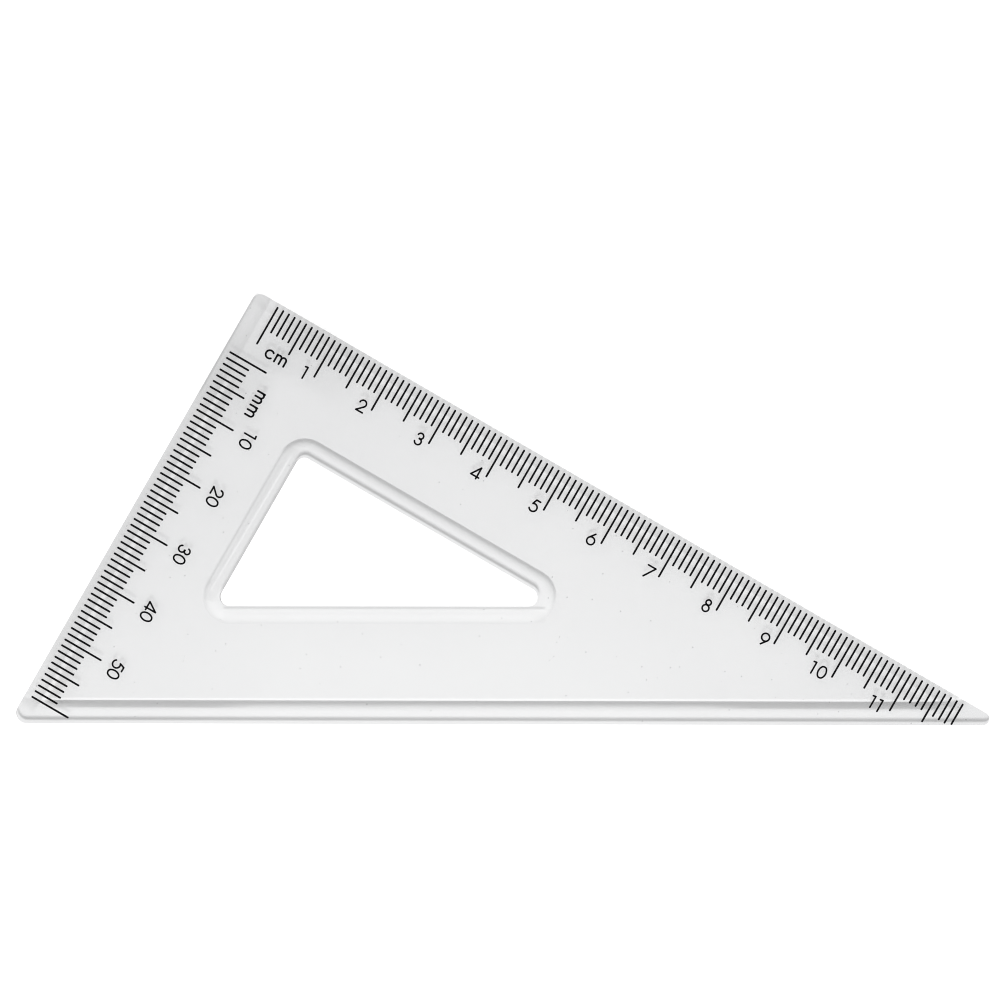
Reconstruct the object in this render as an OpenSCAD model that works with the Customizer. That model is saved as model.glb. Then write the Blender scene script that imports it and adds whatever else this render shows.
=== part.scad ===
// Drafting triangle: a clear 30, 60 and 90 degree set square with two printed scales.
// The printed face looks up (+Z) and the plate rests on the plane z = 0.
// The long ruling edge runs along +X from the right angle to the 30 degree tip,
// and the short ruling edge runs from the right angle down -Y.
// The origin lies under the middle of the plate's bounding box, on the rest plane.

/* [Outline] */
// Length of the hypotenuse between its sharp corners
hypotenuse_l = 150.5; // [140:0.5:300]
// Radius of the right-angle corner
right_corner_r = 1.3; // [0.6:0.1:4]
// Radius of the 60 degree corner
wide_corner_r = 1.6; // [0.6:0.1:4]
// Radius of the 30 degree tip
tip_r = 1; // [0.5:0.1:2.5]
// Thickness of the plate
plate_t = 1.6; // [1.4:0.1:3]

/* [Window] */
// Width of the plate between each ruling edge and the window
leg_band_w = 18; // [12:0.5:19]
// Width of the plate between the hypotenuse and the window
hypotenuse_band_w = 17.7; // [12:0.1:19]
// Radius of the window's corners
window_r = 1.4; // [1:0.1:2.5]
// Width of the cove around the window, on the underside, from its crease to its flat roof
window_cove_w = 1.7; // [0.8:0.1:3]
// Height of the roof of the window's cove above the rest plane
window_cove_h = 0.45; // [0.2:0.05:1]
// Width of the flat roof between the cove and the window
window_lip_w = 1; // [0.2:0.1:1.5]

/* [Ruling edges] */
// Width of the bevel under each ruling edge
ruling_bevel_w = 2.5; // [1:0.1:4]
// Thickness left at a ruling edge
ruling_edge_t = 1; // [0.6:0.1:1.3]

/* [Inking edge] */
// Width of the cove under the hypotenuse, from its crease to its flat roof
inking_cove_w = 1.9; // [1:0.1:4]
// Height of the roof of the hypotenuse's cove above the rest plane
inking_cove_h = 0.6; // [0.3:0.1:1]
// Width of the flat roof between the cove and the hypotenuse
inking_lip_w = 1.4; // [0.3:0.1:2]

/* [Scales] */
// Distance between two neighbouring marks
mark_pitch = 1; // [0.5:0.5:2]
// Length of a mark at each single step
ones_mark_l = 4; // [2:0.1:5]
// Length of a mark at each fifth step
fives_mark_l = 5.5; // [3:0.1:6.5]
// Length of a mark at each tenth step
tens_mark_l = 6.5; // [4:0.1:8]
// Width of a printed line
line_w = 0.3; // [0.15:0.01:0.4]
// Thickness of the ink on the plate
ink_t = 0.04; // [0.02:0.01:0.1]
// Gap between the long ruling edge and its marks
long_scale_margin = 0.5; // [0.3:0.1:2]
// Gap between the short ruling edge and its marks
short_scale_margin = 1; // [0.3:0.1:2]
// Distance from the short ruling edge to the first mark of the long scale
long_scale_start = 4; // [2:0.5:12]
// Distance from the long ruling edge to the first mark of the short scale
short_scale_start = 10; // [9:0.5:20]

/* [Hidden] */
// Angles of the two sharp corners
tip_angle = 30;
wide_angle = 90 - tip_angle;
// Distance that every cut runs past the solid it cuts
overrun = 0.4;
// Depth by which a straight side starts inside a corner's arc, so that the two cross cleanly
seam = 0.0005;
// Facets of a full circle at the corners and at a mark's round end
corner_facets = 96;
mark_facets = 24;
// Share of its length that a mark keeps where the hypotenuse clips it
least_mark_share = 0.9;
// Steps in one numbered unit of a scale, and in half of it
tens_steps = 10;
fives_steps = 5;

// Legs of the outline, between sharp corners
long_leg = hypotenuse_l * cos(tip_angle);
short_leg = hypotenuse_l * sin(tip_angle);
// Size of the rounded outline along X and Y
plate_l = long_leg - tip_r / tan(tip_angle / 2) + tip_r;
plate_d = short_leg - wide_corner_r / tan(wide_angle / 2) + wide_corner_r;
// Distance from the window's right angle to its hypotenuse, and the legs that follow
leg_bands_reach = leg_band_w * (sin(tip_angle) + cos(tip_angle));
window_reach = long_leg * sin(tip_angle) - hypotenuse_band_w - leg_bands_reach;
window_long_leg = window_reach / sin(tip_angle);
window_short_leg = window_reach / cos(tip_angle);
// Room for each scale past its first mark, and the step of its last mark:
// the long scale fills its edge, and the short one ends on a whole ten
least_mark_l = ones_mark_l * least_mark_share;
long_scale_room = long_leg - long_scale_start - (long_scale_margin + least_mark_l) / tan(tip_angle);
short_scale_room = short_leg - short_scale_start - (short_scale_margin + tens_mark_l) * tan(tip_angle);
long_scale_last = floor(long_scale_room / mark_pitch);
short_scale_last = tens_steps * floor(short_scale_room / (tens_steps * mark_pitch));

plate_colour = [0.88, 0.91, 0.93, 0.45];
ink_colour = [0.04, 0.04, 0.05];

// Centres of three rounded corners: right angle, 60 degree corner, 30 degree tip.
// The sharp right angle is at the origin, the long leg runs +X and the short leg -Y.
function corner_centres(long, short, radii) = [
    [radii[0], -radii[0]],
    [radii[1], -(short - radii[1] / tan(wide_angle / 2))],
    [long - radii[2] / tan(tip_angle / 2), -radii[2]]
];

// Outward direction of the hypotenuse.
hypotenuse_normal = [sin(tip_angle), -cos(tip_angle)];

// A 30, 60 and 90 degree triangle with rounded corners.
module rounded_triangle(long, short, radii) {
    c = corner_centres(long, short, radii);
    polygon([
        [seam, c[0].y],
        [seam, c[1].y],
        c[1] + (radii[1] - seam) * hypotenuse_normal,
        c[2] + (radii[2] - seam) * hypotenuse_normal,
        [c[2].x, -seam],
        [c[0].x, -seam]
    ]);
    for (i = [0 : len(radii) - 1]) translate(c[i]) circle(r = radii[i], $fn = corner_facets);
}

// Section of a cove: a concave arc that starts at its crease and flattens out into a roof.
// The roof ends at x = 0, and what it opens to lies at x < 0.
module cove_section(width, height, roof_w) {
    arc_r = (width * width + height * height) / (2 * height);
    intersection() {
        translate([roof_w, height - arc_r]) circle(r = arc_r, $fn = corner_facets);
        translate([roof_w, -overrun]) square([arc_r, height + overrun]);
    }
    translate([-overrun, -overrun]) square([roof_w + overrun, height + overrun]);
}

// Straight run of the window's cove along +X, opening to the window on its -Y side.
module window_cove_run(length) {
    rotate([90, 0, 90]) linear_extrude(length)
        cove_section(window_cove_w, window_cove_h, window_lip_w);
}

// Round end of the window's cove about a corner's centre.
module window_cove_turn() {
    rotate_extrude($fn = corner_facets) {
        translate([window_r + seam, 0]) cove_section(window_cove_w, window_cove_h, window_lip_w);
        translate([0, -overrun]) square([window_r, window_cove_h + overrun]);
    }
}

// The cove all the way round the window, as three runs and three turns.
module window_cove() {
    c = corner_centres(window_long_leg, window_short_leg, [window_r, window_r, window_r]);
    translate([c[0].x, 0, 0]) window_cove_run(c[2].x - c[0].x);
    translate([0, c[1].y, 0]) rotate([0, 0, 90]) window_cove_run(c[0].y - c[1].y);
    translate(c[2] + window_r * hypotenuse_normal)
        rotate([0, 0, 180 + tip_angle]) window_cove_run(norm(c[2] - c[1]));
    for (centre = c) translate(centre) window_cove_turn();
}

// The window right through the plate, with its cove on the underside.
module window_cut() {
    translate([leg_band_w, -leg_band_w, 0]) {
        translate([0, 0, -overrun]) linear_extrude(plate_t + 2 * overrun)
            rounded_triangle(window_long_leg, window_short_leg, [window_r, window_r, window_r]);
        window_cove();
    }
}

// Bevel under a ruling edge that lies along +X, with the plate on its -Y side.
module ruling_bevel(length) {
    height = plate_t - ruling_edge_t;
    slope = height / ruling_bevel_w;
    rotate([90, 0, 90]) linear_extrude(length) polygon([
        [-ruling_bevel_w - overrun / slope, -overrun],
        [overrun, height + overrun * slope],
        [overrun, -overrun]
    ]);
}

// The bevels under both ruling edges. They meet in a mitre at the right angle.
module ruling_bevels() {
    translate([-overrun, 0, 0]) ruling_bevel(long_leg + 2 * overrun);
    translate([0, -short_leg - overrun, 0]) rotate([0, 0, 90]) ruling_bevel(short_leg + 2 * overrun);
}

// Cove under the hypotenuse, which holds the edge clear of wet ink on the paper.
module inking_cove() {
    translate([long_leg, 0, 0]) rotate([0, 0, tip_angle]) translate([-hypotenuse_l - overrun, 0, 0])
        rotate([90, 0, 90]) linear_extrude(hypotenuse_l + 2 * overrun)
        cove_section(inking_cove_w, inking_cove_h, inking_lip_w);
}

// Moves what is drawn from the sharp right angle into the part's own frame.
module in_part_frame() {
    translate([-plate_l / 2, plate_d / 2, 0]) children();
}

// The clear moulded plate.
module plate() {
    color(plate_colour) in_part_frame() difference() {
        linear_extrude(plate_t)
            rounded_triangle(long_leg, short_leg, [right_corner_r, wide_corner_r, tip_r]);
        window_cut();
        ruling_bevels();
        inking_cove();
    }
}

// One printed line with round ends, from the origin along -Y.
module mark(length) {
    linear_extrude(ink_t) {
        translate([-line_w / 2, line_w / 2 - length]) square([line_w, length - line_w]);
        translate([0, -line_w / 2]) circle(d = line_w, $fn = mark_facets);
        translate([0, line_w / 2 - length]) circle(d = line_w, $fn = mark_facets);
    }
}

// True where a step of a scale carries a mark of the asked kind: tens, fives or ones.
function is_kind(step, kind) =
    kind == tens_steps ? step % tens_steps == 0
    : kind == fives_steps ? step % tens_steps == fives_steps
    : step % fives_steps != 0;

// Length of a mark of the asked kind.
function mark_length(kind) =
    kind == tens_steps ? tens_mark_l
    : kind == fives_steps ? fives_mark_l
    : ones_mark_l;

// Marks of one kind on the long scale. The hypotenuse clips the last one.
module long_scale_marks(kind) {
    color(ink_colour) in_part_frame() for (step = [0 : long_scale_last]) if (is_kind(step, kind)) {
        at = long_scale_start + step * mark_pitch;
        depth = (long_leg - at - line_w / 2) * tan(tip_angle) - long_scale_margin;
        translate([at, -long_scale_margin, plate_t]) mark(min(mark_length(kind), depth));
    }
}

// Marks of one kind on the short scale.
module short_scale_marks(kind) {
    color(ink_colour) in_part_frame() for (step = [0 : short_scale_last]) if (is_kind(step, kind))
        translate([short_scale_margin, -short_scale_start - step * mark_pitch, plate_t])
            rotate([0, 0, 90]) mark(mark_length(kind));
}

plate();
long_scale_marks(tens_steps);  // long_scale_tens_marks
long_scale_marks(fives_steps);  // long_scale_fives_marks
long_scale_marks(1);  // long_scale_ones_marks
short_scale_marks(tens_steps);  // short_scale_tens_marks
short_scale_marks(fives_steps);  // short_scale_fives_marks
short_scale_marks(1);  // short_scale_ones_marks
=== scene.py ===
"""Looks of a clear drafting triangle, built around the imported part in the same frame.

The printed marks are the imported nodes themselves. The clear plate stands in for the packed
plate at the same sizes, with smooth coves and softened moulding edges, and the numbers and
unit letters of the two scales are drawn with a round pen on the plate's upper face.
"""

from __future__ import annotations

import logging
import math
from dataclasses import dataclass, field
from enum import Enum
from functools import partial
from typing import Iterable, Sequence

import bmesh
import bpy
from mathutils import Matrix, Vector

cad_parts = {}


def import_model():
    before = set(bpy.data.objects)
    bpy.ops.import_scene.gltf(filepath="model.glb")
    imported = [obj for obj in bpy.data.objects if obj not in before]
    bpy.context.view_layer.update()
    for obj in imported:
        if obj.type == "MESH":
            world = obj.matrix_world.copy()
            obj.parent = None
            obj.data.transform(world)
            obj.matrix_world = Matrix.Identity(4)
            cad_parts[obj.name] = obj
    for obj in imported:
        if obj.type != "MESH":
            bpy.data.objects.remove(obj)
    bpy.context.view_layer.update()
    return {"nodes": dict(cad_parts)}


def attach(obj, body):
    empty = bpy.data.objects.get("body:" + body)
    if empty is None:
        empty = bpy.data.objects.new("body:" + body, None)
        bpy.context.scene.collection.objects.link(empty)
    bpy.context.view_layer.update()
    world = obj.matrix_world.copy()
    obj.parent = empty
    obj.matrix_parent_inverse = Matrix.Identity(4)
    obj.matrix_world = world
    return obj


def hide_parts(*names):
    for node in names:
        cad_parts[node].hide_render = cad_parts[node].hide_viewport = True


log = logging.getLogger("drafting_triangle")

MM = 0.001
ROOT = "root"
WHITE = (1.0, 1.0, 1.0, 1.0)
EAST = Vector((1.0, 0.0, 0.0))
SOUTH = Vector((0.0, -1.0, 0.0))
UP = Vector((0.0, 0.0, 1.0))


# Sizes


@dataclass(frozen=True)
class TriangleSizes:
    """Sizes of the moulded plate and its print, in metres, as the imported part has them."""

    hypotenuse: float = 150.5 * MM
    right_corner_r: float = 1.3 * MM
    wide_corner_r: float = 1.6 * MM
    tip_r: float = 1.0 * MM
    thickness: float = 1.6 * MM
    leg_band: float = 18.0 * MM
    hypotenuse_band: float = 17.7 * MM
    window_r: float = 1.4 * MM
    window_cove_w: float = 1.7 * MM
    window_cove_h: float = 0.45 * MM
    window_lip: float = 1.0 * MM
    ruling_bevel_w: float = 2.5 * MM
    ruling_edge: float = 1.0 * MM
    inking_cove_w: float = 1.9 * MM
    inking_cove_h: float = 0.6 * MM
    inking_lip: float = 1.4 * MM
    ink: float = 0.04 * MM
    tip_angle: float = math.radians(30.0)
    overrun: float = 0.4 * MM

    @property
    def long_leg(self) -> float:
        """Length of the long leg between its sharp corners."""
        return self.hypotenuse * math.cos(self.tip_angle)

    @property
    def short_leg(self) -> float:
        """Length of the short leg between its sharp corners."""
        return self.hypotenuse * math.sin(self.tip_angle)

    @property
    def right_angle(self) -> Vector:
        """Place of the sharp right angle in the part's frame."""
        length = self.long_leg - self.tip_r / math.tan(self.tip_angle / 2) + self.tip_r
        wide = math.pi / 2 - self.tip_angle
        depth = self.short_leg - self.wide_corner_r / math.tan(wide / 2) + self.wide_corner_r
        return Vector((-length / 2, depth / 2, 0.0))

    @property
    def tip(self) -> Vector:
        """Place of the sharp 30 degree tip in the part's frame."""
        return self.right_angle + EAST * self.long_leg

    @property
    def window_corner(self) -> Vector:
        """Place of the window's sharp right angle in the part's frame."""
        return self.right_angle + (EAST + SOUTH) * self.leg_band

    @property
    def outward(self) -> Vector:
        """Direction out of the plate across the hypotenuse."""
        return Vector((math.sin(self.tip_angle), -math.cos(self.tip_angle), 0.0))

    @property
    def run(self) -> Vector:
        """Direction along the hypotenuse, from the tip to the 60 degree corner."""
        return Vector((-math.cos(self.tip_angle), -math.sin(self.tip_angle), 0.0))

    def corner_centres(self, long: float, short: float, radii: Sequence[float]) -> list[Vector]:
        """Gives the centres of a triangle's rounded corners, with its right angle at the origin.

        Args:
            long: the long leg, along +X.
            short: the short leg, along -Y.
            radii: radii at the right angle, the 60 degree corner and the 30 degree tip.

        Returns:
            The three centres, in the same order as the radii.
        """
        wide = math.pi / 2 - self.tip_angle
        return [
            Vector((radii[0], -radii[0], 0.0)),
            Vector((radii[1], -(short - radii[1] / math.tan(wide / 2)), 0.0)),
            Vector((long - radii[2] / math.tan(self.tip_angle / 2), -radii[2], 0.0)),
        ]

    @property
    def window_legs(self) -> tuple[float, float]:
        """Long and short leg of the window between its sharp corners."""
        reach = self.long_leg * math.sin(self.tip_angle) - self.hypotenuse_band
        reach -= self.leg_band * (math.sin(self.tip_angle) + math.cos(self.tip_angle))
        return reach / math.sin(self.tip_angle), reach / math.cos(self.tip_angle)


# Mesh helpers


def object_from(bm: bmesh.types.BMesh, name: str) -> bpy.types.Object:
    """Turns a finished bmesh into a linked object at the origin.

    Args:
        bm: the mesh, which is freed.
        name: the object's name.

    Returns:
        The new object.
    """
    mesh = bpy.data.meshes.new(name)
    bm.to_mesh(mesh)
    bm.free()
    made = bpy.data.objects.new(name, mesh)
    bpy.context.scene.collection.objects.link(made)
    return made


def drop(made: bpy.types.Object) -> None:
    """Removes a helper object and its mesh."""
    mesh = made.data
    bpy.data.objects.remove(made)
    bpy.data.meshes.remove(mesh)


def only(kind: type, geom: Iterable[object]) -> list:
    """Picks the elements of one kind out of an operator's result."""
    return [element for element in geom if isinstance(element, kind)]


def face_out(bm: bmesh.types.BMesh) -> None:
    """Points every face of a closed mesh outwards."""
    bmesh.ops.recalc_face_normals(bm, faces=bm.faces[:])


def carve(body: bpy.types.Object, cutter: bpy.types.Object) -> None:
    """Cuts one closed solid out of another and removes the cutter.

    Args:
        body: the solid that is cut, whose mesh is replaced.
        cutter: the solid that is taken away.
    """
    cut = body.modifiers.new("cut", "BOOLEAN")
    cut.operation = "DIFFERENCE"
    cut.solver = "EXACT"
    cut.object = cutter
    graph = bpy.context.evaluated_depsgraph_get()
    result = bpy.data.meshes.new_from_object(body.evaluated_get(graph))
    body.modifiers.remove(cut)
    old, body.data = body.data, result
    bpy.data.meshes.remove(old)
    drop(cutter)


# Finishes


Value = float | tuple[float, ...] | Vector | bpy.types.NodeSocket


class Shader:
    """A small helper that lays out one node material."""

    def __init__(self, name: str) -> None:
        """Starts an empty node material with an output."""
        self.material = bpy.data.materials.new(name)
        self.material.use_nodes = True
        self.tree = self.material.node_tree
        self.tree.nodes.clear()
        self.output = self.add("ShaderNodeOutputMaterial")
        self.place = self.add("ShaderNodeTexCoord").outputs["Object"]

    def add(self, kind: str, **values: object) -> bpy.types.Node:
        """Adds a node and sets its properties.

        Args:
            kind: the node's type.
            values: properties of the node by name.

        Returns:
            The node.
        """
        node = self.tree.nodes.new(kind)
        for name, value in values.items():
            setattr(node, name, value)
        return node

    def feed(self, value: Value, into: bpy.types.NodeSocket) -> None:
        """Links a socket into another, or sets a plain value there."""
        if isinstance(value, bpy.types.NodeSocket):
            self.tree.links.new(value, into)
        else:
            into.default_value = value

    def reckon(self, operation: str, *values: Value, clamp: bool = False) -> bpy.types.NodeSocket:
        """Adds a Math node.

        Args:
            operation: what it works out.
            values: its inputs, in order.
            clamp: whether the result is kept between 0 and 1.

        Returns:
            The result's socket.
        """
        node = self.add("ShaderNodeMath", operation=operation, use_clamp=clamp)
        for value, into in zip(values, node.inputs):
            self.feed(value, into)
        return node.outputs[0]

    def measure(self, operation: str, other: Value) -> bpy.types.NodeSocket:
        """Adds a Vector Math node that gives one number for each place on the object.

        Args:
            operation: what it works out from the place and the other vector.
            other: the other vector.

        Returns:
            The number's socket.
        """
        node = self.add("ShaderNodeVectorMath", operation=operation)
        self.feed(self.place, node.inputs[0])
        self.feed(other, node.inputs[1])
        return node.outputs["Value"]

    def mix(self, kind: str, factor: Value, first: Value, second: Value) -> bpy.types.NodeSocket:
        """Adds a Mix node.

        Args:
            kind: FLOAT for numbers, RGBA for colours.
            factor: how much of the second is in the result.
            first: the number or colour at factor 0.
            second: the number or colour at factor 1.

        Returns:
            The result's socket.
        """
        node = self.add("ShaderNodeMix", data_type=kind)
        for name, value in (("Factor", factor), ("A", first), ("B", second)):
            self.feed(value, node.inputs[name])
        return node.outputs["Result"]

    def stretch(
        self,
        value: bpy.types.NodeSocket,
        given: tuple[float, float],
        wanted: tuple[float, float],
        **values: object,
    ) -> bpy.types.NodeSocket:
        """Adds a Map Range node.

        Args:
            value: the socket that is mapped.
            given: the range that it is mapped from.
            wanted: the range that it is mapped to.
            values: properties of the node by name.

        Returns:
            The result's socket.
        """
        node = self.add("ShaderNodeMapRange", **values)
        self.feed(value, node.inputs["Value"])
        names = ("From Min", "From Max", "To Min", "To Max")
        for name, number in zip(names, (*given, *wanted)):
            node.inputs[name].default_value = number
        return node.outputs[0]

    def ramp(
        self, value: bpy.types.NodeSocket, stops: Sequence[tuple[float, float]]
    ) -> bpy.types.NodeSocket:
        """Maps a value through straight stretches between stops.

        Args:
            value: the socket that is mapped.
            stops: places and the values there, in order.

        Returns:
            The mapped socket.
        """
        node = self.add("ShaderNodeValToRGB")
        elements = node.color_ramp.elements
        elements[0].position, elements[1].position = stops[0][0], stops[-1][0]
        for place, _ in stops[1:-1]:
            elements.new(place)
        for element, (_, level) in zip(elements, stops):
            element.color = (level, level, level, 1.0)
        self.feed(value, node.inputs["Fac"])
        return node.outputs["Color"]

    def band(
        self, axis: Vector, ends: tuple[float, float], soft: float
    ) -> bpy.types.NodeSocket:
        """Makes a mask that is one between two planes square to an axis.

        Args:
            axis: the planes' direction.
            ends: places of the two planes along the axis.
            soft: width of the soft change at each plane.

        Returns:
            The mask's socket.
        """
        low, high = ends
        off = self.reckon("SUBTRACT", self.measure("DOT_PRODUCT", axis), (low + high) / 2)
        given = ((high - low - soft) / 2, (high - low + soft) / 2)
        away = self.reckon("ABSOLUTE", off)
        return self.stretch(away, given, (1.0, 0.0), interpolation_type="SMOOTHSTEP")

    def texture(self, kind: str, scale: float) -> bpy.types.Node:
        """Adds a texture node that reads the place on the object."""
        node = self.add(kind)
        self.feed(self.place, node.inputs["Vector"])
        node.inputs["Scale"].default_value = scale
        return node

    def let_lamps_through(self, skin: bpy.types.Node, share: Value) -> None:
        """Finishes the surface so that lamps meet a plain share of light in place of the skin.

        Args:
            skin: the shader that everything but a lamp's light meets.
            share: the share of a lamp's light that passes.
        """
        passing = self.add("ShaderNodeBsdfTransparent")
        self.feed(share, passing.inputs["Color"])
        path = self.add("ShaderNodeLightPath")
        surface = self.add("ShaderNodeMixShader")
        sources = (path.outputs["Is Shadow Ray"], skin.outputs[0], passing.outputs[0])
        for source, into in zip(sources, surface.inputs):
            self.feed(source, into)
        self.feed(surface.outputs[0], self.output.inputs["Surface"])


def shifted(ends: tuple[float, float], by: float) -> tuple[float, float]:
    """Moves both ends of a stretch by a distance."""
    return ends[0] + by, ends[1] + by


def mirrored(ends: tuple[float, float], length: float = 0.0) -> tuple[float, float]:
    """Counts both ends of a stretch from the far end of a length."""
    return length - ends[1], length - ends[0]


@dataclass(frozen=True)
class Streak:
    """A soft-sided stripe beside an edge: painted light where its gain is above nought, painted
    shade where it is below.

    The stripe runs to the left of the inward direction, as seen from above.
    """

    start: Vector
    inward: Vector
    reach: tuple[float, float]
    span: tuple[float, float]
    gain: float
    soft_end: float = 0.3 * MM
    soft_side: float = 0.3 * MM

    @property
    def along(self) -> Vector:
        """Direction in which the stripe runs."""
        return Vector((-self.inward.y, self.inward.x, 0.0))


@dataclass(frozen=True)
class ClearPlastic:
    """Water-clear moulded plastic whose relief throws soft shadow bands, some by the angle of the
    light and some painted by place.

    Lamps reach the table straight through it. How much of a lamp's light each surface lets
    through follows the angle at which the light meets it, as total reflection does in the
    real plate: most of it on the flats, ever less towards the crease of a cove, and little
    out of a side wall. On top of that, light and shade are painted by place: a painted gain
    by height lets the coves pass a little more, painted shade lets the ruling bevels pass a
    little less, and a painted highlight beside a crease throws a thin bright line. Painted
    light fades the inking cove's bands out near both its ends, and a soft painted shade lies
    beside the right angle. Faint specks and a slow unevenness of the tint mark the plate as
    handled, and it is clearest at the middle of the hypotenuse.
    """

    sizes: TriangleSizes
    name: str = "clear_plastic"
    ior: float = 1.49
    roughness: float = 0.0
    # Tint
    clear: tuple[float, float, float, float] = (0.995, 0.998, 1.0, 1.0)
    dull: tuple[float, float, float, float] = (0.925, 0.927, 0.931, 1.0)
    speck: tuple[float, float, float, float] = (0.6, 0.6, 0.6, 1.0)
    clearest_at: tuple[float, float, float] = (15.0 * MM, -45.0 * MM, 0.0)
    clear_r: float = 51.0 * MM
    dull_r: float = 96.0 * MM
    cloud: float = 0.5
    cloud_scale: float = 45.0
    speck_scale: float = 420.0
    speck_size: float = 0.05
    # Share of a lamp's light that leaves the underside, by facing: one less the angle's cosine
    facing_blend: float = 0.5
    shares: tuple[tuple[float, float], ...] = (
        (0.0, 0.96),
        (0.05, 0.88),
        (0.0975, 0.82),
        (0.165, 0.68),
        (0.245, 0.45),
        (0.322, 0.2),
        (0.38, 0.05),
        (0.42, 0.0),
    )
    # Painted light by height: where the underside is raised, over coves, lips and bevels, more of
    # a lamp's light passes
    full_gain: float = 1.09
    thin_gain: float = 1.34
    thin_from: float = 0.3 * MM
    wall_share: float = 0.15
    wall_slope: float = 0.3
    # Stripes of painted light and shade along the hypotenuse, measured from the tip and inwards
    inking_glint: tuple[float, float] = (0.0, 0.35 * MM)
    inking_glint_gain: float = 0.4
    inking_glint_end: float = 5.5 * MM
    inking_glint_fade: float = 2.0 * MM
    edge_line: tuple[float, float] = (0.25 * MM, 0.55 * MM)
    rim_loss: float = -0.6
    end_reach: tuple[float, float] = (2.1 * MM, 3.1 * MM)
    tip_end_span: tuple[float, float] = (10.0 * MM, 42.0 * MM)
    wide_end_span: tuple[float, float] = (8.0 * MM, 34.0 * MM)
    end_loss: float = -0.9
    end_fade: float = 10.0 * MM
    cove_ends: tuple[float, float] = (9.5 * MM, 6.0 * MM)
    cove_fade: float = 4.0 * MM
    cove_end_loss: float = -0.28
    # Stripes of painted light and shade along the long ruling edge, measured from the right angle
    # and inwards
    long_ends: tuple[float, float] = (1.5 * MM, 8.0 * MM)
    long_fade: float = 4.0 * MM
    glint_start: float = 14.0 * MM
    ruling_glint_gain: float = 0.3
    long_glint: tuple[float, float] = (-0.15 * MM, 0.55 * MM)
    long_dip: tuple[float, float] = (1.0 * MM, 1.55 * MM)
    long_dip_loss: float = -0.08
    long_bevel_loss: float = -0.34
    bevel_slack: float = 0.25 * MM
    long_edge_w: float = 0.6 * MM
    long_edge_gain: float = 0.15
    # Stripes of painted light and shade along the short ruling edge, measured the same way
    short_end: float = 3.3 * MM
    short_fade: float = 2.0 * MM
    short_glint_end: float = 5.0 * MM
    short_glint: tuple[float, float] = (0.05 * MM, 0.6 * MM)
    short_dip: tuple[float, float] = (0.75 * MM, 1.95 * MM)
    short_dip_loss: float = -0.2
    short_bevel_loss: float = -0.35
    short_edge_w: float = 0.4 * MM
    short_edge_loss: float = -0.5
    short_edge_end: float = 18.0 * MM
    short_edge_fade: float = 4.0 * MM
    # Painted shade beside the right angle
    shade_reach: tuple[float, float] = (-2.5 * MM, 9.0 * MM)
    shade_span: tuple[float, float] = (6.0 * MM, 19.0 * MM)
    shade_loss: float = -0.13
    shade_soft_end: float = 6.0 * MM
    shade_soft_side: float = 3.0 * MM
    # Stripes of painted light and shade beside the window, measured outwards from its edge
    rim_line: tuple[float, float] = (0.48 * MM, 0.8 * MM)
    window_foot: tuple[float, float] = (1.3 * MM, 2.7 * MM)
    window_foot_loss: float = -0.13
    window_side: tuple[float, float] = (0.35 * MM, 1.95 * MM)
    window_side_loss: float = -0.17
    window_crease: tuple[float, float] = (2.2 * MM, 2.65 * MM)
    window_crease_gain: float = 0.5
    window_glint: tuple[float, float] = (0.95 * MM, 1.1 * MM)
    window_glint_slant: float = math.radians(1.2)
    window_glint_gain: float = 0.6

    def _inking_streaks(self) -> list[Streak]:
        """Lists the stripes of painted light and shade that run along the hypotenuse."""
        s = self.sizes
        side = partial(Streak, s.tip, -s.outward)
        crease = s.inking_lip + s.inking_cove_w
        glint = shifted(self.inking_glint, crease)
        glint_run = (-s.overrun, s.hypotenuse - self.inking_glint_end)
        whole = (-s.overrun, s.hypotenuse + s.overrun)
        wide_end = mirrored(self.wide_end_span, s.hypotenuse)
        cove = (-crease, crease)
        tip_cove = (-crease, self.cove_ends[0])
        wide_cove = (s.hypotenuse - self.cove_ends[1], s.hypotenuse + crease)
        return [
            side(glint, glint_run, self.inking_glint_gain, self.inking_glint_fade),
            side(self.edge_line, whole, self.rim_loss),
            side(self.end_reach, self.tip_end_span, self.end_loss, self.end_fade),
            side(self.end_reach, wide_end, self.end_loss, self.end_fade),
            side(cove, tip_cove, self.cove_end_loss, self.cove_fade),
            side(cove, wide_cove, self.cove_end_loss, self.cove_fade),
        ]

    def _long_edge_streaks(self) -> list[Streak]:
        """Lists the stripes of painted light and shade that run along the long ruling edge."""
        s = self.sizes
        side = partial(Streak, s.right_angle, SOUTH, soft_end=self.long_fade)
        bevel = s.ruling_bevel_w
        end = s.long_leg - self.long_ends[1]
        whole, run = (self.long_ends[0], end), (self.glint_start, end)
        return [
            side(shifted(self.long_glint, bevel), run, self.ruling_glint_gain),
            side(shifted(self.long_dip, bevel), run, self.long_dip_loss),
            side((-bevel, bevel - self.bevel_slack), whole, self.long_bevel_loss),
            side((-bevel, self.long_edge_w), run, self.long_edge_gain),
        ]

    def _short_edge_streaks(self) -> list[Streak]:
        """Lists the stripes of painted light and shade that run along the short ruling edge."""
        s = self.sizes
        side = partial(Streak, s.right_angle, EAST)
        bevel = s.ruling_bevel_w
        run = (self.short_glint_end - s.short_leg, -self.glint_start)
        whole = (self.short_end - s.short_leg, bevel)
        edge, edge_run = (-bevel, self.short_edge_w), (-self.short_edge_end, bevel)
        return [
            side(shifted(self.short_glint, bevel), run, self.ruling_glint_gain, self.short_fade),
            side(shifted(self.short_dip, bevel), run, self.short_dip_loss, self.short_fade),
            side((-bevel, bevel), whole, self.short_bevel_loss, self.short_fade),
            side(edge, edge_run, self.short_edge_loss, self.short_edge_fade),
        ]

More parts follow.
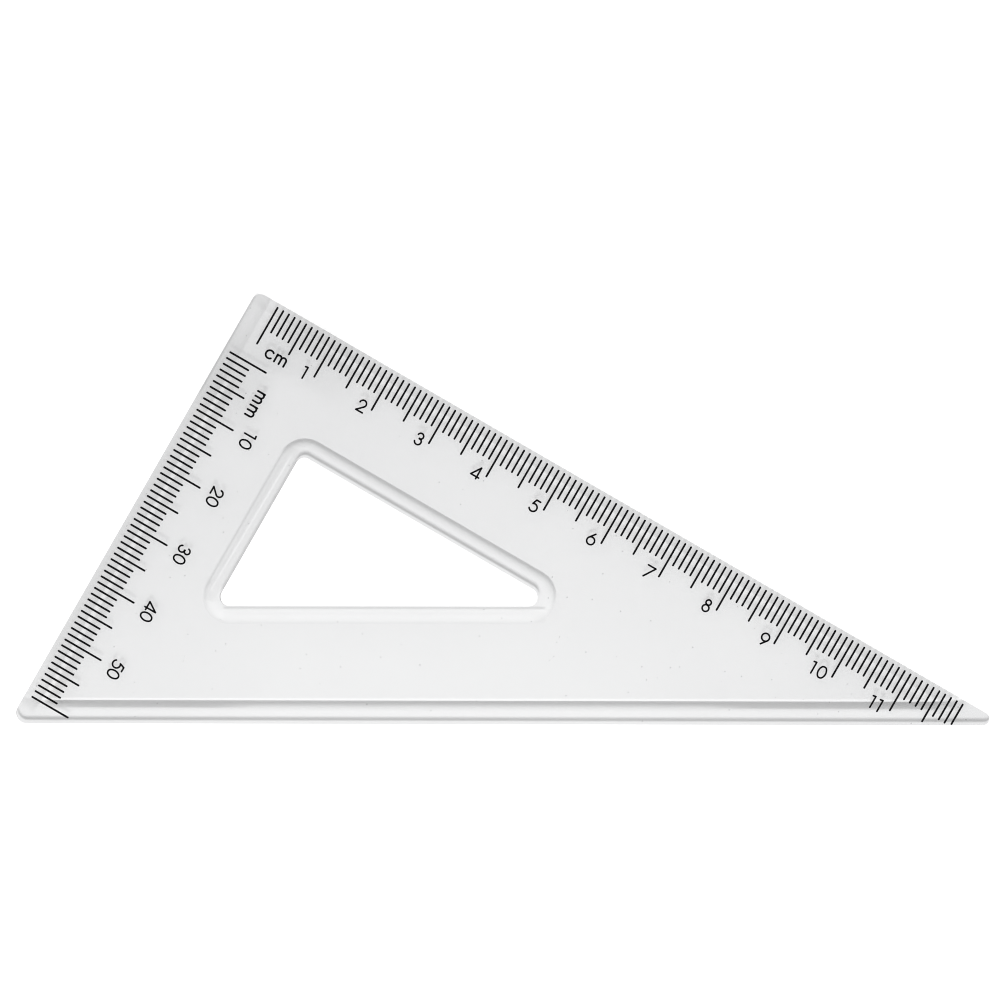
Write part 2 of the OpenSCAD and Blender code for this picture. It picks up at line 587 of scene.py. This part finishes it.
    def _corner_shades(self) -> list[Streak]:
        """Lists the soft painted shades on both sides of the right angle."""
        look = {"reach": self.shade_reach, "gain": self.shade_loss}
        soft = {"soft_end": self.shade_soft_end, "soft_side": self.shade_soft_side}
        shade = partial(Streak, self.sizes.right_angle, **look, **soft)
        return [
            shade(inward=SOUTH, span=self.shade_span),
            shade(inward=EAST, span=mirrored(self.shade_span)),
        ]

    def _window_streaks(self) -> list[Streak]:
        """Lists the stripes of painted light and shade beside the window."""
        s = self.sizes
        long, short = s.window_legs
        corners = (s.window_corner + EAST * long, s.window_corner + SOUTH * short)
        ends = [(corner - s.tip).dot(s.run) for corner in corners]
        foot_run = (ends[0] + 2 * s.window_r, ends[1] - s.window_r)
        crease_run = (s.window_r, short - 2 * s.window_r)
        glint_run = (s.window_r, short - s.window_r)
        foot = partial(Streak, s.tip, -s.outward, span=foot_run)
        side = partial(Streak, s.window_corner)
        slanted = Matrix.Rotation(-self.window_glint_slant, 3, "Z") @ -EAST
        return [
            foot(mirrored(self.rim_line, s.hypotenuse_band), gain=self.rim_loss),
            foot(mirrored(self.window_foot, s.hypotenuse_band), gain=self.window_foot_loss),
            side(-EAST, self.window_side, (0.0, short), self.window_side_loss),
            side(-EAST, self.window_crease, crease_run, self.window_crease_gain, s.window_r),
            side(slanted, self.window_glint, glint_run, self.window_glint_gain),
        ]

    def _gain(self, shader: Shader) -> bpy.types.NodeSocket:
        """Works out the painted gain of a lamp's light, by height and in its streaks of painted
        light and shade.

        Args:
            shader: the material that gets the nodes.

        Returns:
            The gain's socket.
        """
        streaks = (
            self._inking_streaks()
            + self._long_edge_streaks()
            + self._short_edge_streaks()
            + self._corner_shades()
            + self._window_streaks()
        )
        place = shader.add("ShaderNodeSeparateXYZ")
        shader.feed(shader.place, place.inputs[0])
        thinning = (0.0, self.thin_from)
        gain = shader.stretch(place.outputs["Z"], thinning, (self.full_gain, self.thin_gain))
        for streak in streaks:
            reach = shifted(streak.reach, streak.start.dot(streak.inward))
            span = shifted(streak.span, streak.start.dot(streak.along))
            across = shader.band(streak.inward, reach, streak.soft_side)
            along = shader.band(streak.along, span, streak.soft_end)
            both = shader.reckon("MULTIPLY", across, along)
            gain = shader.reckon("MULTIPLY_ADD", both, streak.gain, gain)
        return gain

    def _lamp_share(self, shader: Shader) -> bpy.types.NodeSocket:
        """Works out the share of a lamp's light that a surface lets through.

        Args:
            shader: the material that gets the nodes.

        Returns:
            The share's socket.
        """
        s = self.sizes
        facing = shader.add("ShaderNodeLayerWeight")
        facing.inputs["Blend"].default_value = self.facing_blend
        # Painted light: near both ends of the hypotenuse the facing fades to nought, so the cove's
        # dark bands fade out there
        cove = (self.cove_ends[0], s.hypotenuse - self.cove_ends[1])
        middle = shader.band(s.run, shifted(cove, s.tip.dot(s.run)), self.cove_fade)
        slant = shader.reckon("MULTIPLY", facing.outputs["Facing"], middle)
        geometry = shader.add("ShaderNodeNewGeometry")
        normal = shader.add("ShaderNodeSeparateXYZ")
        shader.feed(geometry.outputs["Normal"], normal.inputs[0])
        tilt = shader.reckon("ABSOLUTE", normal.outputs["Z"])
        wall = shader.reckon("LESS_THAN", tilt, self.wall_slope)
        under = shader.reckon("MULTIPLY", shader.ramp(slant, self.shares), self._gain(shader))
        outer = shader.mix("FLOAT", wall, under, 1.0)
        inner = shader.mix("FLOAT", wall, 1.0, self.wall_share)
        return shader.mix("FLOAT", geometry.outputs["Backfacing"], outer, inner)

    def _tint(self, shader: Shader) -> bpy.types.NodeSocket:
        """Colours the plastic: slowly uneven, duller towards the ends, with a few specks.

        Args:
            shader: the material that gets the nodes.

        Returns:
            The colour's socket.
        """
        cloud = shader.texture("ShaderNodeTexNoise", self.cloud_scale)
        away = shader.measure("DISTANCE", self.clearest_at)
        drift_ends = (-self.cloud / 2, 1.0 - self.cloud / 2)
        faded = shader.stretch(away, (self.clear_r, self.dull_r), drift_ends, clamp=False)
        drift = shader.reckon("MULTIPLY_ADD", cloud.outputs["Fac"], self.cloud, faded, clamp=True)
        uneven = shader.mix("RGBA", drift, self.clear, self.dull)
        cells = shader.texture("ShaderNodeTexVoronoi", self.speck_scale)
        near = shader.reckon("LESS_THAN", cells.outputs["Distance"], self.speck_size)
        return shader.mix("RGBA", near, uneven, self.speck)

    def make(self) -> bpy.types.Material:
        """Builds the material."""
        shader = Shader(self.name)
        skin = shader.add("ShaderNodeBsdfPrincipled")
        shader.feed(self._tint(shader), skin.inputs["Base Color"])
        skin.inputs["Metallic"].default_value = 0.0
        skin.inputs["Transmission Weight"].default_value = 1.0
        skin.inputs["IOR"].default_value = self.ior
        skin.inputs["Roughness"].default_value = self.roughness
        shader.let_lamps_through(skin, self._lamp_share(shader))
        return shader.material


@dataclass(frozen=True)
class PrintedInk:
    """Black printed ink, slightly uneven in density and sheen.

    Light scattered inside the plate fills most of its shadow, so most of a lamp's light
    passes it.
    """

    name: str = "printed_ink"
    dense: tuple[float, float, float, float] = (0.003, 0.003, 0.004, 1.0)
    thin: tuple[float, float, float, float] = (0.01, 0.01, 0.011, 1.0)
    specular: float = 0.15
    grain_scale: float = 5200.0
    sheen: tuple[float, float] = (0.38, 0.6)
    lamp_share: tuple[float, float, float, float] = (0.8, 0.8, 0.8, 1.0)

    def make(self) -> bpy.types.Material:
        """Builds the material."""
        shader = Shader(self.name)
        skin = shader.add("ShaderNodeBsdfPrincipled")
        grain = shader.texture("ShaderNodeTexNoise", self.grain_scale).outputs["Fac"]
        shader.feed(shader.mix("RGBA", grain, self.dense, self.thin), skin.inputs["Base Color"])
        shader.feed(shader.stretch(grain, (0.0, 1.0), self.sheen), skin.inputs["Roughness"])
        skin.inputs["Specular IOR Level"].default_value = self.specular
        shader.let_lamps_through(skin, self.lamp_share)
        return shader.material


@dataclass(frozen=True)
class PaperWhite:
    """White table paper that stays white to the camera and keeps soft shadows."""

    name: str = "paper_white"
    albedo: float = 0.88
    backdrop_lift: float = 0.5
    lift: float = 0.22

    def make(self) -> bpy.types.Material:
        """Builds the material."""
        shader = Shader(self.name)
        matt = shader.add("ShaderNodeBsdfDiffuse")
        matt.inputs["Color"].default_value = (self.albedo, self.albedo, self.albedo, 1.0)
        glow = shader.add("ShaderNodeEmission")
        glow.inputs["Color"].default_value = WHITE
        path = shader.add("ShaderNodeLightPath").outputs
        direct = shader.reckon("MULTIPLY", path["Is Camera Ray"], self.backdrop_lift)
        mirrored_ray, bent_ray = path["Is Glossy Ray"], path["Is Transmission Ray"]
        turned = shader.reckon("ADD", mirrored_ray, bent_ray, clamp=True)
        strength = shader.reckon("MULTIPLY_ADD", turned, self.lift, direct)
        shader.feed(strength, glow.inputs["Strength"])
        both = shader.add("ShaderNodeAddShader")
        shader.feed(matt.outputs[0], both.inputs[0])
        shader.feed(glow.outputs[0], both.inputs[1])
        shader.feed(both.outputs[0], shader.output.inputs["Surface"])
        return shader.material


# Clear plate


@dataclass
class ClearPlate:
    """The moulded plate: outline, window, ruling bevels, window cove and inking cove."""

    sizes: TriangleSizes
    corner_steps: int = 96
    cove_steps: int = 20
    crease_angle: float = math.radians(8.0)
    softened_angle: float = math.radians(50.0)
    softened_w: float = 0.2 * MM
    softened_steps: int = 4
    flat_angle: float = math.radians(0.05)
    weld: float = 0.0005 * MM
    sliver: float = 0.0002 * MM
    most_sides: int = 4

    def _rounded_prism(
        self, centres: Iterable[Vector], radii: Sequence[float], low: float, high: float
    ) -> bpy.types.Object:
        """Wraps rounded corners into an upright triangular prism.

        Args:
            centres: corner centres in the part's frame.
            radii: the corner radii.
            low: height of the foot.
            high: height of the top.

        Returns:
            The closed prism.
        """
        bm = bmesh.new()
        for centre, radius in zip(centres, radii):
            for height in (low, high):
                place = Matrix.Translation((centre.x, centre.y, height))
                bmesh.ops.create_circle(
                    bm, cap_ends=False, radius=radius, segments=self.corner_steps, matrix=place
                )
        hull = bmesh.ops.convex_hull(bm, input=bm.verts[:], use_existing_faces=False)
        spare = [g for g in hull["geom_interior"] + hull["geom_unused"] if g.is_valid]
        loose = list(dict.fromkeys(only(bmesh.types.BMVert, spare)))
        bmesh.ops.delete(bm, geom=loose, context="VERTS")
        bmesh.ops.dissolve_limit(
            bm, angle_limit=self.flat_angle, verts=bm.verts[:], edges=bm.edges[:]
        )
        face_out(bm)
        return object_from(bm, "prism")

    def _cove_section(
        self, bm: bmesh.types.BMesh, width: float, height: float, lip: float
    ) -> list[bmesh.types.BMEdge]:
        """Draws the closed section of a cove in the XZ plane, with what it opens to at x < 0.

        Args:
            bm: the mesh that gets the section.
            width: from the crease to the flat roof.
            height: of the roof above the rest plane.
            lip: width of the flat roof.

        Returns:
            The section's edges.
        """
        over = self.sizes.overrun
        radius = (width * width + height * height) / (2 * height)
        sweep = math.asin(width / radius)
        top = bm.verts.new((lip, 0.0, height))
        spun = bmesh.ops.spin(
            bm,
            geom=[top],
            cent=(lip, 0.0, height - radius),
            axis=(0.0, 1.0, 0.0),
            angle=sweep * (1 + over / radius),
            steps=self.cove_steps,
        )
        foot = only(bmesh.types.BMVert, spun["geom_last"])[0]
        corners = [
            foot,
            bm.verts.new((foot.co.x, 0.0, -over)),
            bm.verts.new((-over, 0.0, -over)),
            bm.verts.new((-over, 0.0, height)),
            top,
        ]
        for a, b in zip(corners, corners[1:]):
            bm.edges.new((a, b))
        return bm.edges[:]

    def _window_cove(self) -> bpy.types.Object:
        """Sweeps the window's cove section round the window as one closed ring."""
        s = self.sizes
        bm = bmesh.new()
        edges = self._cove_section(bm, s.window_cove_w, s.window_cove_h, s.window_lip)
        long, short = s.window_legs
        c = s.corner_centres(long, short, [s.window_r] * 3)
        # The section stands square to the left side, at the right angle's end, opening to +X.
        place = Matrix.Translation((0.0, c[0].y, 0.0)) @ Matrix.Rotation(math.pi, 4, "Z")
        bmesh.ops.transform(bm, matrix=place, verts=bm.verts[:])
        tip = s.tip_angle
        legs = [
            (c[0], c[1], math.pi - (math.pi / 2 - tip)),
            (c[1], c[2], math.pi - tip),
            (c[2], c[0], math.pi / 2),
        ]
        loop = edges
        for start, end, turn in legs:
            moved = bmesh.ops.extrude_edge_only(bm, edges=loop)["geom"]
            verts = only(bmesh.types.BMVert, moved)
            loop = [e for e in only(bmesh.types.BMEdge, moved) if all(v in verts for v in e.verts)]
            bmesh.ops.translate(bm, vec=end - start, verts=verts)
            spun = bmesh.ops.spin(
                bm,
                geom=verts + loop,
                cent=end,
                axis=UP,
                angle=turn,
                steps=round(self.corner_steps * turn / (2 * math.pi)),
            )
            loop = only(bmesh.types.BMEdge, spun["geom_last"])
        bmesh.ops.remove_doubles(bm, verts=bm.verts[:], dist=self.weld)
        bmesh.ops.translate(bm, vec=s.window_corner, verts=bm.verts[:])
        face_out(bm)
        return object_from(bm, "window_cove")

    def _straight(
        self, edges: list[bmesh.types.BMEdge], bm: bmesh.types.BMesh, length: float
    ) -> None:
        """Runs a closed section of edges along +Y and closes both ends.

        Args:
            edges: the section's edges.
            bm: the mesh that holds them.
            length: length of the run.
        """
        start = bmesh.ops.contextual_create(bm, geom=edges)["faces"]
        moved = bmesh.ops.extrude_face_region(bm, geom=start)["geom"]
        bmesh.ops.translate(bm, vec=(0.0, length, 0.0), verts=only(bmesh.types.BMVert, moved))
        face_out(bm)

    def _to_edge(self, bm: bmesh.types.BMesh, start: Vector, along: Vector, out: Vector) -> None:
        """Brings a run along +Y, with the plate at its +X side, to an edge of the plate.

        Args:
            bm: the mesh that holds the run.
            start: the point on the sharp edge where the run starts, apart from its overrun.
            along: direction of the edge.
            out: direction out of the plate.
        """
        axes = Matrix((-out, along, UP)).transposed().to_4x4()
        place = Matrix.Translation(start - along * self.sizes.overrun) @ axes
        bmesh.ops.transform(bm, matrix=place, verts=bm.verts[:])
        face_out(bm)

    def _inking_cove(self) -> bpy.types.Object:
        """Runs the inking cove's section along the whole hypotenuse."""
        s = self.sizes
        bm = bmesh.new()
        edges = self._cove_section(bm, s.inking_cove_w, s.inking_cove_h, s.inking_lip)
        self._straight(edges, bm, s.hypotenuse + 2 * s.overrun)
        self._to_edge(bm, s.tip, s.run, s.outward)
        return object_from(bm, "inking_cove")

    def _ruling_bevel(self, along: Vector, out: Vector, length: float) -> bpy.types.Object:
        """Makes the wedge that is cut under one ruling edge, from the right angle on.

        Args:
            along: direction of the edge.
            out: direction out of the plate.
            length: length of the edge.

        Returns:
            The closed wedge.
        """
        s = self.sizes
        slope = (s.thickness - s.ruling_edge) / s.ruling_bevel_w
        bm = bmesh.new()
        corners = [
            bm.verts.new((s.ruling_bevel_w + s.overrun / slope, 0.0, -s.overrun)),
            bm.verts.new((-s.overrun, 0.0, s.thickness - s.ruling_edge + s.overrun * slope)),
            bm.verts.new((-s.overrun, 0.0, -s.overrun)),
        ]
        for a, b in zip(corners, corners[1:] + corners[:1]):
            bm.edges.new((a, b))
        self._straight(bm.edges[:], bm, length + 2 * s.overrun)
        self._to_edge(bm, s.right_angle, along, out)
        return object_from(bm, "ruling_bevel")

    def build(self) -> bpy.types.Object:
        """Moulds the plate and gives it its finish.

        Returns:
            The plate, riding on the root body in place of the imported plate.
        """
        s = self.sizes
        radii = [s.right_corner_r, s.wide_corner_r, s.tip_r]
        centres = [s.right_angle + c for c in s.corner_centres(s.long_leg, s.short_leg, radii)]
        plate = self._rounded_prism(centres, radii, 0.0, s.thickness)
        inner = [s.window_r] * 3
        holes = [s.window_corner + c for c in s.corner_centres(*s.window_legs, inner)]
        carve(plate, self._rounded_prism(holes, inner, -s.overrun, s.thickness + s.overrun))
        carve(plate, self._window_cove())
        carve(plate, self._ruling_bevel(EAST, -SOUTH, s.long_leg))
        carve(plate, self._ruling_bevel(SOUTH, -EAST, s.short_leg))
        carve(plate, self._inking_cove())
        plate.name = plate.data.name = "clear_plate"
        self._shade(plate)
        soften = plate.modifiers.new("moulded_edges", "BEVEL")
        soften.limit_method = "ANGLE"
        soften.angle_limit = self.softened_angle
        soften.width = self.softened_w
        soften.segments = self.softened_steps
        soften.harden_normals = True
        plate.data.materials.clear()
        plate.data.materials.append(ClearPlastic(s).make())
        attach(plate, ROOT)
        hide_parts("plate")
        return plate

    def _shade(self, plate: bpy.types.Object) -> None:
        """Shades the plate smooth except across its creases."""
        bm = bmesh.new()
        bm.from_mesh(plate.data)
        bmesh.ops.remove_doubles(bm, verts=bm.verts[:], dist=self.weld)
        bmesh.ops.dissolve_degenerate(bm, edges=bm.edges[:], dist=self.sliver)
        wide = [face for face in bm.faces if len(face.verts) > self.most_sides]
        bmesh.ops.triangulate(bm, faces=wide)
        for face in bm.faces:
            face.smooth = True
        for edge in bm.edges:
            shared = len(edge.link_faces) == 2
            edge.smooth = shared and edge.calc_face_angle(math.pi) < self.crease_angle
        bm.to_mesh(plate.data)
        bm.free()


# Printed numbers and letters


@dataclass(frozen=True)
class Line:
    """A straight pen stroke to a point, in millimetres from the glyph's origin."""

    x: float
    y: float


@dataclass(frozen=True)
class Arc:
    """A round pen stroke about a centre, by a turn in degrees."""

    x: float
    y: float
    turn: float


Stroke = tuple[tuple[float, float], tuple[Line | Arc, ...]]

# Pen strokes of each glyph. The origin is on the baseline under the glyph's middle.
GLYPHS: dict[str, tuple[Stroke, ...]] = {
    "1": (((0.0, 0.0), (Line(0.0, 1.83), Line(-0.4, 1.76))),),
    "2": (((-0.55, 1.3), (Arc(-0.02, 1.27, -227.0), Line(-0.55, 0.0), Line(0.57, 0.0))),),
    "3": (
        ((-0.46, 1.45), (Arc(-0.02, 1.39, -262.0),)),
        ((-0.04, 1.02), (Arc(-0.02, 0.51, -255.0),)),
    ),
    "4": (((0.68, 0.3), (Line(-0.68, 0.3), Line(0.34, 1.83), Line(0.34, 0.0))),),
    "5": (((0.61, 1.83), (Line(-0.06, 1.83), Line(-0.32, 1.11), Arc(0.0, 0.6, -272.0))),),
    "6": (((0.2, 1.83), (Line(-0.49, 0.94), Arc(0.0, 0.6, 360.0))),),
    "7": (((-0.66, 1.83), (Line(0.64, 1.83), Line(-0.54, 0.0))),),
    "8": (((0.0, 1.85), (Arc(0.0, 1.45, 360.0),)), ((0.0, 1.02), (Arc(0.0, 0.51, 360.0),))),
    "9": (((-0.2, 0.0), (Line(0.49, 0.89), Arc(0.0, 1.23, 360.0))),),
    "0": (
        ((0.0, 1.82), (Arc(0.0, 1.34, -58.1), Arc(-0.675, 0.92, -63.8), Arc(0.0, 0.5, -116.2),
                       Arc(0.675, 0.92, -63.8), Arc(0.0, 1.34, -58.1))),
    ),
    "c": (((0.44, 1.05), (Arc(0.0, 0.61, 270.0),)),),
    "m": (
        ((-0.81, 0.0), (Line(-0.81, 1.22),)),
        ((-0.81, 0.81), (Arc(-0.405, 0.81, -180.0), Line(0.0, 0.0))),
        ((0.0, 0.81), (Arc(0.405, 0.81, -180.0), Line(0.81, 0.0))),
    ),
}


class Scale(Enum):
    """Which way a scale's print reads: along +X with its head at the long edge, or along -Y."""

    LONG = "centimetre"
    SHORT = "millimetre"


@dataclass(frozen=True)
class Row:
    """Characters on one baseline, each with its place along the scale, in millimetres."""

    baseline: float
    characters: tuple[tuple[str, float], ...]


# A number of two figures stands as its separate figures.
NUMBERS: dict[Scale, Row] = {
    Scale.LONG: Row(
        -7.95,
        (
            ("1", 12.5), ("2", 22.43), ("3", 32.43), ("4", 42.43), ("5", 52.43),
            ("6", 62.43), ("7", 72.43), ("8", 82.43), ("9", 92.43),
            ("1", 100.95), ("0", 102.36), ("1", 111.18), ("1", 112.4),
        ),
    ),
    Scale.SHORT: Row(
        9.12,
        (
            ("0", 20.87), ("0", 30.87), ("0", 40.87), ("0", 50.87), ("0", 60.87),
            ("2", 29.3), ("3", 39.3), ("4", 49.3), ("5", 59.3), ("1", 19.45),
        ),
    ),
}
UNITS: dict[Scale, Row] = {
    Scale.LONG: Row(-7.91, (("c", 6.48), ("m", 8.36))),
    Scale.SHORT: Row(7.7, (("m", 13.76), ("m", 16.1))),
}


@dataclass(frozen=True)
class Pen:
    """A round pen that lays flat ribbons of ink."""

    width: float
    arc_step: float = math.radians(9.0)
    dot_sides: int = 16
    fewest_steps: int = 3

    def _dot(self, bm: bmesh.types.BMesh, at: Vector) -> None:
        """Sets the pen down at a point."""
        bmesh.ops.create_circle(
            bm,
            cap_ends=True,
            radius=self.width / 2,
            segments=self.dot_sides,
            matrix=Matrix.Translation(at),
        )

    def _line(self, bm: bmesh.types.BMesh, start: Vector, end: Vector) -> None:
        """Draws a straight ribbon of ink between two points."""
        along = end - start
        side = Vector((-along.y, along.x, 0.0)).normalized() * self.width / 2
        edge = bm.edges.new((bm.verts.new(start - side), bm.verts.new(start + side)))
        moved = bmesh.ops.extrude_edge_only(bm, edges=[edge])["geom"]
        bmesh.ops.translate(bm, vec=along, verts=only(bmesh.types.BMVert, moved))

    def _arc(self, bm: bmesh.types.BMesh, start: Vector, centre: Vector, turn: float) -> Vector:
        """Draws a round ribbon of ink about a centre.

        Args:
            bm: the glyph's mesh.
            start: where the arc starts.
            centre: the arc's centre.
            turn: how far it turns, in radians.

        Returns:
            The point where the arc ends.
        """
        spoke = start - centre
        side = spoke.normalized() * self.width / 2
        edge = bm.edges.new((bm.verts.new(start - side), bm.verts.new(start + side)))
        bmesh.ops.spin(
            bm,
            geom=[*edge.verts, edge],
            cent=centre,
            axis=UP,
            angle=turn,
            steps=max(self.fewest_steps, round(abs(turn) / self.arc_step)),
            use_merge=abs(turn) > 2 * math.pi - self.arc_step / 2,
        )
        return centre + Matrix.Rotation(turn, 3, "Z") @ spoke

    def glyph(self, bm: bmesh.types.BMesh, character: str, origin: Vector) -> None:
        """Draws one character.

        Args:
            bm: the mesh that gets the character.
            character: which one.
            origin: its origin in reading coordinates.
        """
        for start, moves in GLYPHS[character]:
            pen = origin + Vector((*start, 0.0)) * MM
            self._dot(bm, pen)
            for move in moves:
                target = origin + Vector((move.x, move.y, 0.0)) * MM
                if isinstance(move, Line):
                    self._line(bm, pen, target)
                    pen = target
                else:
                    pen = self._arc(bm, pen, target, math.radians(move.turn))
                self._dot(bm, pen)


@dataclass
class ScaleLettering:
    """Numbers and unit letters of one scale, drawn with a round pen in ink."""

    scale: Scale
    sizes: TriangleSizes
    ink: bpy.types.Material
    number_pen: Pen = Pen(0.27 * MM)
    letter_pen: Pen = Pen(0.3 * MM)

    def _place(self) -> Matrix:
        """Gives the turn and place that bring reading coordinates onto the plate."""
        place = Matrix.Translation(self.sizes.right_angle + UP * self.sizes.thickness)
        if self.scale is Scale.LONG:
            return place
        return place @ Matrix.Rotation(-math.pi / 2, 4, "Z")

    def write(self, name: str, pen: Pen, row: Row) -> bpy.types.Object:
        """Prints a row of characters on the plate.

        Args:
            name: the piece's name.
            pen: the pen that draws it.
            row: the characters and their places.

        Returns:
            The printed piece.
        """
        bm = bmesh.new()
        for character, along in row.characters:
            pen.glyph(bm, character, Vector((along, row.baseline, 0.0)) * MM)
        raised = bmesh.ops.extrude_face_region(bm, geom=bm.faces[:])["geom"]
        bmesh.ops.translate(bm, vec=UP * self.sizes.ink, verts=only(bmesh.types.BMVert, raised))
        face_out(bm)
        bmesh.ops.transform(bm, matrix=self._place(), verts=bm.verts[:])
        piece = object_from(bm, name)
        piece.data.materials.append(self.ink)
        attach(piece, ROOT)
        return piece

    def build(self) -> list[bpy.types.Object]:
        """Prints all the lettering of this scale.

        Returns:
            The numbers and the unit letters.
        """
        unit = self.scale.value
        return [
            self.write(f"{unit}_numbers", self.number_pen, NUMBERS[self.scale]),
            self.write(f"{unit}_letters", self.letter_pen, UNITS[self.scale]),
        ]


@dataclass
class PrintedScales:
    """Both printed scales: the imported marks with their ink, and the lettering."""

    sizes: TriangleSizes
    finish: PrintedInk = field(default_factory=PrintedInk)

    def build(self, nodes: dict[str, bpy.types.Object]) -> list[bpy.types.Object]:
        """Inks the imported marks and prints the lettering.

        Args:
            nodes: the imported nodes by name.

        Returns:
            Every printed piece.
        """
        ink = self.finish.make()
        marks = [node for name, node in nodes.items() if name.endswith("_marks")]
        for node in marks:
            node.data.materials.clear()
            node.data.materials.append(ink)
        made = list(marks)
        for scale in Scale:
            made += ScaleLettering(scale, self.sizes, ink).build()
        return made


# Studio


@dataclass
class Studio:
    """White table, soft light from the photograph's lower side, and the camera."""

    focal_px: float = 9000.0
    frame_px: float = 1000.0
    sensor: float = 36.0
    camera_at: tuple[float, float, float] = (0.077748, 0.079196, 1.349438)
    look: tuple[float, float, float] = (-0.06951989, -0.03775138, -0.99686600)
    right: tuple[float, float, float] = (0.86303511, 0.49891547, -0.07908070)
    key_angle: float = math.radians(25.5)
    key_distance: float = 3.0
    key_radius: float = 0.38
    key_share: float = 0.5
    room_share: float = 0.28
    gap: float = 0.4 * MM
    key_side: tuple[float, float] = (0.38, -0.925)
    table_r: float = 3.0
    table_sides: int = 96
    clip: tuple[float, float] = (0.01, 20.0)

    def table(self) -> bpy.types.Object:
        """Lays the white table under the plate."""
        bm = bmesh.new()
        bmesh.ops.create_circle(
            bm,
            cap_ends=True,
            radius=self.table_r,
            segments=self.table_sides,
            matrix=Matrix.Translation((0.0, 0.0, -self.gap)),
        )
        floor = object_from(bm, "table")
        floor.data.materials.append(PaperWhite().make())
        return floor

    def key(self) -> bpy.types.Object:
        """Hangs the round key lamp on the hypotenuse's side."""
        lamp = bpy.data.lights.new("key", "AREA")
        lamp.shape = "DISK"
        lamp.size = 2 * self.key_radius
        out = Vector((*self.key_side, 0.0)).normalized()
        toward = out * math.sin(self.key_angle) + UP * math.cos(self.key_angle)
        # A disk of power P gives P / (pi * d^2) at its axis, and pi there shows white as white.
        full_power = math.pi * math.pi * self.key_distance**2
        lamp.energy = self.key_share * full_power / math.cos(self.key_angle)
        made = bpy.data.objects.new("key", lamp)
        made.location = toward * self.key_distance
        made.rotation_mode = "QUATERNION"
        made.rotation_quaternion = (-toward).to_track_quat("-Z", "Y")
        made.visible_transmission = False
        made.visible_glossy = False
        bpy.context.scene.collection.objects.link(made)
        return made

    def surroundings(self) -> None:
        """Fills the room with even white light."""
        world = bpy.data.worlds.new("room")
        world.use_nodes = True
        back = world.node_tree.nodes["Background"]
        back.inputs["Color"].default_value = WHITE
        back.inputs["Strength"].default_value = self.room_share
        bpy.context.scene.world = world

    def camera(self) -> bpy.types.Object:
        """Sets the camera as the photograph's marks place it."""
        data = bpy.data.cameras.new("camera")
        data.sensor_width = self.sensor
        data.lens = self.focal_px * self.sensor / self.frame_px
        data.clip_start, data.clip_end = self.clip
        made = bpy.data.objects.new("camera", data)
        back, right = -Vector(self.look).normalized(), Vector(self.right).normalized()
        axes = Matrix((right, back.cross(right), back)).transposed().to_4x4()
        made.matrix_world = Matrix.Translation(self.camera_at) @ axes
        bpy.context.scene.collection.objects.link(made)
        bpy.context.scene.camera = made
        return made

    def build(self) -> None:
        """Sets up the table, the light and the camera."""
        self.camera()
        self.table()
        self.key()
        self.surroundings()
        bpy.context.scene.view_settings.view_transform = "Standard"
        bpy.context.scene.cycles.blur_glossy = 0.0
        bpy.context.scene.cycles.filter_width = 1.0


# Build


def main() -> None:
    """Builds the triangle's pieces and the studio round them, in order."""
    logging.basicConfig(level=logging.INFO, format="%(message)s")
    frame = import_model()
    Studio().build()
    sizes = TriangleSizes()
    plate = ClearPlate(sizes).build()
    log.info("plate: %d faces", len(plate.data.polygons))
    for piece in PrintedScales(sizes).build(frame["nodes"]):
        log.info("print: %s, %d faces", piece.name, len(piece.data.polygons))


if __name__ == "__main__":
    main()
